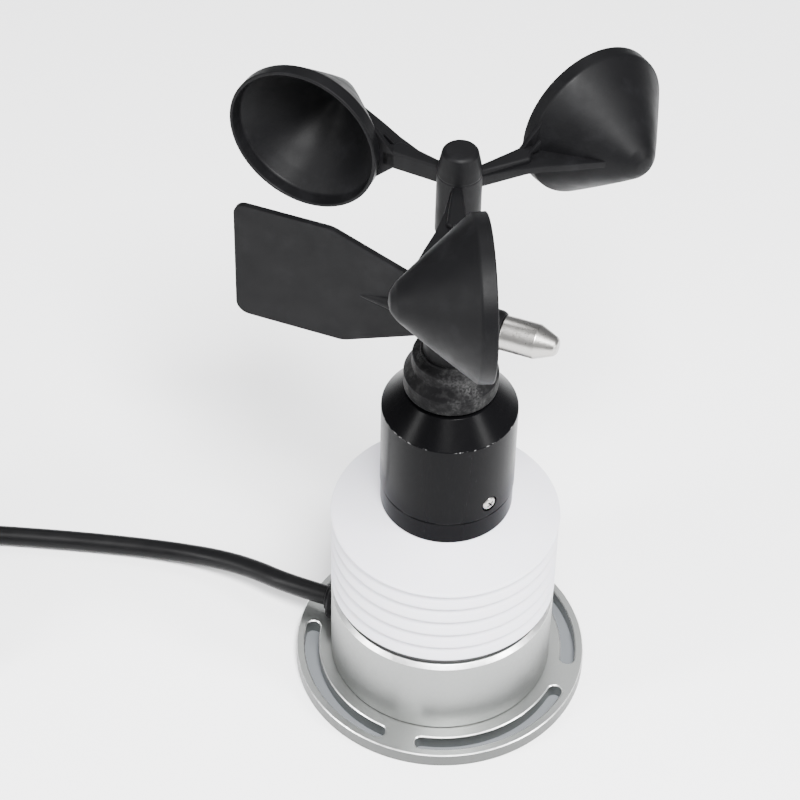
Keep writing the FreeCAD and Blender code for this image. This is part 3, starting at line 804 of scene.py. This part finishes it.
def wind_housing():
    """The black cylinder with a conical shoulder and a pocket for each housing screw."""
    low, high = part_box("wind_housing")
    radius = high.x
    inner = radius - HOUSING_WALL
    shoulder = SHOULDER_Z
    pocket_z = middle_z("housing_screws")
    profile = [(0.003, high.z), (0.0148, high.z), (radius, shoulder), (radius, pocket_z + POCKET_REACH),
               (radius, pocket_z - POCKET_REACH), (radius, low.z), (inner, low.z),
               (inner, shoulder - 0.002), (0.0115, shoulder + 0.0029), (0.003, shoulder + 0.0029)]
    floor = radius - POCKET_DEPTH
    outside = radius + 0.003
    pocket = [(0, floor), (POCKET_R, floor), (POCKET_R, outside), (0, outside)]
    cutters = []
    for index in range(SCREW_COUNT):
        cutter = lathe_mesh("pocket", pocket, 48)
        cutter.transform(along(HOUSING_SCREW_AZ + 360 * index / SCREW_COUNT, pocket_z))
        cutters.append(cutter)
    mesh = carved(lathe_mesh("housing", softened(profile, 0.00025), 256), cutters)
    housing = finish_mesh("housing", mesh, ANODISED, "station", ("wind_housing",))


def housing_screws():
    """Pan heads with a cross recess, whose faces are painted dark as painted shade."""
    z = middle_z("housing_screws")
    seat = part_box("wind_housing")[1].x - HEAD_SEAT_DEPTH
    crown = seat + HEAD_HEIGHT
    recess_floor = seat + 0.0003
    profile = [(0, seat - 0.004), (SHANK_R, seat - 0.004), (SHANK_R, seat), (HEAD_R, seat),
               (HEAD_R, seat + 0.0004), (HEAD_R - 0.0004, seat + 0.0008), (0.0010, crown), (0, crown)]
    arm = DRIVE_ARM
    half = DRIVE_HALF_WIDTH
    slit = [(-arm, -half), (arm, -half), (arm, half), (-arm, half)]
    heads = []
    for index in range(SCREW_COUNT):
        place = along(HOUSING_SCREW_AZ + 360 * index / SCREW_COUNT, z)
        head = lathe_mesh("head", softened(profile, 0.0002), 64)
        for turn in (DRIVE_TURN, DRIVE_TURN + 90):
            bar = prism_mesh("bar", slit, "Z", recess_floor, crown + 0.0009, 0)
            bar.transform(Matrix.Rotation(math.radians(turn), 4, "Z"))
            head = carved(head, [bar])
        # The recess walls and floor get the second, dark material: painted shade
        for face in head.polygons:
            wall_or_floor = abs(face.normal.z) < 0.5 or face.center.z < recess_floor + 0.0001
            inside = face.center.z > recess_floor - 0.0001 and face.center.xy.length < 0.0016
            if wall_or_floor and inside:
                face.material_index = 1
        head.transform(place)
        heads.append(head)
    mesh = joined("screws", heads)
    mesh.materials.append(STEEL)
    # Near-black material for the recess faces: painted shade
    mesh.materials.append(plain_part("screw_recess_painted_shade", (0.010, 0.010, 0.010), 0.6))
    screws = finish_mesh("screws", mesh, STEEL, "station", ("housing_screws",))


# ---- wind vane -------------------------------------------------------------------------

def vane_collar():
    """The two-step foot of the vane."""
    low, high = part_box("vane_collar")
    z = low.z
    profile = [(VANE_BORE_R, z), (0.0148, z), (0.0151, z + 0.0003), (0.0152, z + 0.0058),
               (0.0149, z + 0.0062), (0.0129, z + 0.0090), (0.0127, z + 0.0094), (0.0126, z + 0.0133),
               (0.0123, z + 0.0137), (0.0101, z + 0.0148), (0.0099, high.z), (VANE_BORE_R, high.z)]
    collar = lathe("collar", profile, SPARK, "vane", ("vane_collar", "vane_magnet"), 0.0003)


def vane_hub():
    """The upright sleeve and the socket that holds the counterweight's rod."""
    low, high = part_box("vane_hub")
    profile = [(VANE_BORE_R, low.z), (HUB_R, low.z), (HUB_R, high.z - 0.001), (HUB_R - 0.001, high.z),
               (VANE_BORE_R, high.z)]
    hub = lathe("vane_hub_shell", profile, BLACK, "vane", (), 0.0003, None, 128)
    outline = [(ROD_R, HUB_SIDE), (0.0068, HUB_SIDE), (0.0066, 0.0150), (0.0060, SOCKET_END),
               (ROD_R, SOCKET_END)]
    socket = lathe("vane_socket", outline, BLACK, "vane", ("vane_hub",), 0.0004,
                   along(VANE_AZ + 180, middle_z("counterweight")), 96)


def vane_blade():
    """The flat tail and the cone that stiffens it at the hub."""
    low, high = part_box("vane_blade")
    corners = [(HUB_SIDE, 0.1510, 0), (0.0365, low.z, 0.008), (BLADE_TIP, low.z, 0.0045),
               (BLADE_TIP, high.z, 0.0040), (0.0405, high.z, 0.009), (0.0132, 0.1738, 0),
               (HUB_SIDE, 0.1734, 0)]
    mesh = prism_mesh("blade", rounded_polygon(corners), "Y", -BLADE_T / 2, BLADE_T / 2, 0.00035)
    mesh.transform(Matrix.Rotation(math.radians(VANE_AZ), 4, "Z"))
    blade = finish_mesh("blade", mesh, BLACK, "vane", ("vane_blade",))
    cone = [(0, HUB_SIDE), (0.0046, HUB_SIDE), (0.0028, 0.0196), (0.0007, 0.0330), (0, 0.0338)]
    rib = lathe("blade_rib", cone, BLACK, "vane", ("vane_rib",), 0.0005,
                along(VANE_AZ, middle_z("counterweight")), 64)


def counterweight():
    """The steel weight with a conical nose and a blind hole for its rod."""
    low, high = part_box("counterweight")
    r = (high.z - low.z) / 2
    end = SOCKET_END
    profile = [(0.002, end), (r - 0.0003, end), (r, end + 0.0003), (r, 0.0276), (0.0031, 0.0334),
               (0.0022, 0.0342), (0, 0.0345), (0, end + 0.004), (0.002, end + 0.004)]
    weight = lathe("weight", profile, STEEL, "vane", ("counterweight",), 0.00018,
                   along(VANE_AZ + 180, middle_z("counterweight")), 128)


# ---- cup rotor -------------------------------------------------------------------------

def cup_place(index):
    """From a cup turned about Z with its rim at 0 to where it belongs."""
    return (Matrix.Rotation(math.radians(ROTOR_AZ + 360 * index / CUP_COUNT), 4, "Z")
            @ Matrix.Translation((CUP_RING_R, CUP_SETBACK, middle_z("cup_1")))
            @ Matrix.Rotation(math.radians(90), 4, "X"))


def cups():
    """The hollow cones, each with a short straight skirt at the mouth."""
    outer = [(CUP_R - 0.0004, 0), (CUP_R, 0.0003), (CUP_R - 0.0002, CUP_SKIRT), (0.0206, 0.0091),
             (0.0152, 0.0155), (0.0098, 0.0218), (0.0056, 0.0265), (0.0030, 0.0284), (0, CUP_DEPTH)]
    inner = [(0, CUP_DEPTH - 0.0016), (0.0024, 0.0268), (0.0048, 0.0246), (0.0088, 0.0203),
             (0.0142, 0.0139), (0.0194, 0.0078), (0.0230, CUP_SKIRT - 0.0005), (0.0234, 0.0004),
             (0.0236, 0)]
    for index in range(CUP_COUNT):
        node = "cup_%d" % (index + 1)
        cup = lathe("cup_shell_%d" % (index + 1), outer + inner, BLACK, "cup_rotor", (node,), 0.0006,
                    cup_place(index))


def arm_meshes(index):
    """A beam that widens towards the cup, a fin along the cone, a flare at the skirt and a web."""
    z = middle_z("cup_1")
    root = 0.0057
    reach = CUP_RING_R - CUP_R + 0.0004
    beam = prism_mesh("arm", [(root, 0.0002), (reach, 0.0002), (reach, -0.0016), (reach - 0.0045, -0.0060),
                              (root, -ARM_T)], "Z", ARM_LOW, ARM_HIGH, 0.0011, 3)
    fin = prism_mesh("fin", [(root, -0.0010), (reach, -0.0010), (CUP_RING_R - 0.0094, -0.0181),
                             (0.0310, -0.0133), (0.0240, -0.0096), (0.0160, -0.0062), (root, -0.0032)],
                     "Z", z - 0.0006, z + 0.0018, 0.0004)
    edge = []
    for step in range(FLARE_STEPS + 1):
        rise = FLARE_DOWN + (FLARE_UP - FLARE_DOWN) * step / FLARE_STEPS
        edge.append((CUP_RING_R - math.sqrt((CUP_R - 0.0006) ** 2 - rise ** 2), z + rise))
    start = reach - 0.0050
    outline = [(start, ARM_LOW + 0.001)] + edge + [(start, ARM_HIGH - 0.001)]
    flare = prism_mesh("flare", outline, "Y", -0.0014, 0.0002, 0.0003)
    web = prism_mesh("web", [(reach - 0.0040, ARM_HIGH - 0.0004), (reach + 0.0004, ARM_HIGH - 0.0004),
                             (reach + 0.0004, ARM_HIGH + 0.0030)], "Y", -0.0042, -0.0032, 0.0002)
    meshes = [beam, fin, flare, web]
    spin = Matrix.Rotation(math.radians(ROTOR_AZ + 360 * index / CUP_COUNT), 4, "Z")
    for mesh in meshes:
        mesh.transform(spin)
    return meshes


def rotor_spider():
    """The rotor's hub and, as one more piece, its three arms."""
    low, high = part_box("rotor_spider")
    bottom = low.z
    top = high.z
    profile = [(0.0034, bottom), (0.0062, bottom), (0.0069, bottom + 0.0008), (0.00685, bottom + 0.0226),
               (0.0067, bottom + 0.0230), (0.0068, bottom + 0.0234), (0.0064, bottom + 0.0262),
               (0.0055, top - 0.0008), (0.0046, top), (0, top), (0, bottom + 0.008),
               (0.0034, bottom + 0.008)]
    hub = lathe("rotor_hub", profile, BLACK, "cup_rotor", ("rotor_spider",), 0.0005, None, 96)
    meshes = []
    for index in range(CUP_COUNT):
        meshes += arm_meshes(index)
    arms = finish_mesh("rotor_arms", joined("rotor_arms", meshes), BLACK, "cup_rotor", ())


# ---- materials of the CAD nodes that stay -----------------------------------------------

def paint(material, *nodes):
    """Gives CAD nodes that no detailed piece replaces their material."""
    for name in nodes:
        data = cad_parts[name].data
        data.materials.clear()
        data.materials.append(material)


def paint_cad_nodes():
    paint(STEEL, "flange_screws", "tie_rods", "tie_nuts", "mast_nuts", "centre_post", "weight_stud",
          "rotor_shaft", "retaining_ring", "board_pillars", "wind_board_posts", "shield_spacers")
    paint(BLACK, "breather_plug", "gland_nut", "humidity_probe")
    paint(plain_part("seat_plastic", (0.012, 0.012, 0.012), 0.6), "shield_seat")
    paint(ANODISED, "mast_tube")
    paint(plain_part("seal_rubber", (0.02, 0.02, 0.02), 0.7), "flange_gasket")
    paint(plain_part("bearing_steel", (0.55, 0.55, 0.56), 0.2, metallic=1.0),
          "vane_bearing_lower", "vane_bearing_upper")
    paint(plain_part("bronze", (0.55, 0.36, 0.18), 0.35, metallic=1.0),
          "rotor_bush_lower", "rotor_bush_upper")
    paint(plain_part("ferrite", (0.05, 0.05, 0.052), 0.45), "rotor_magnet")
    paint(plain_part("board_mask", (0.012, 0.13, 0.045), 0.3, grain=700), "main_board", "wind_board")
    paint(plain_part("chip_epoxy", (0.012, 0.012, 0.013), 0.4), "board_chips", "wind_sensors")
    paint(plain_part("terminal_plastic", (0.03, 0.30, 0.09), 0.35), "terminal_block")
    paint(plain_part("core_insulation", (0.16, 0.010, 0.008), 0.42), "cable_cores", "core_leads")
    paint(plain_part("filter_metal", (0.42, 0.41, 0.40), 0.5, 1.0, grain=900), "probe_filter")
    paint(plain_part("washer_nylon", (0.70, 0.69, 0.64), 0.45), "thrust_washer")


make_camera()
signal_cable()
make_floor()
make_world()
make_lights()
mount_flange()
base_can()
gland()
louvres()
louvre_posts()
cap_plate()
adapter_ring()
wind_housing()
housing_screws()
vane_collar()
vane_hub()
vane_blade()
counterweight()
cups()
rotor_spider()
paint_cad_nodes()
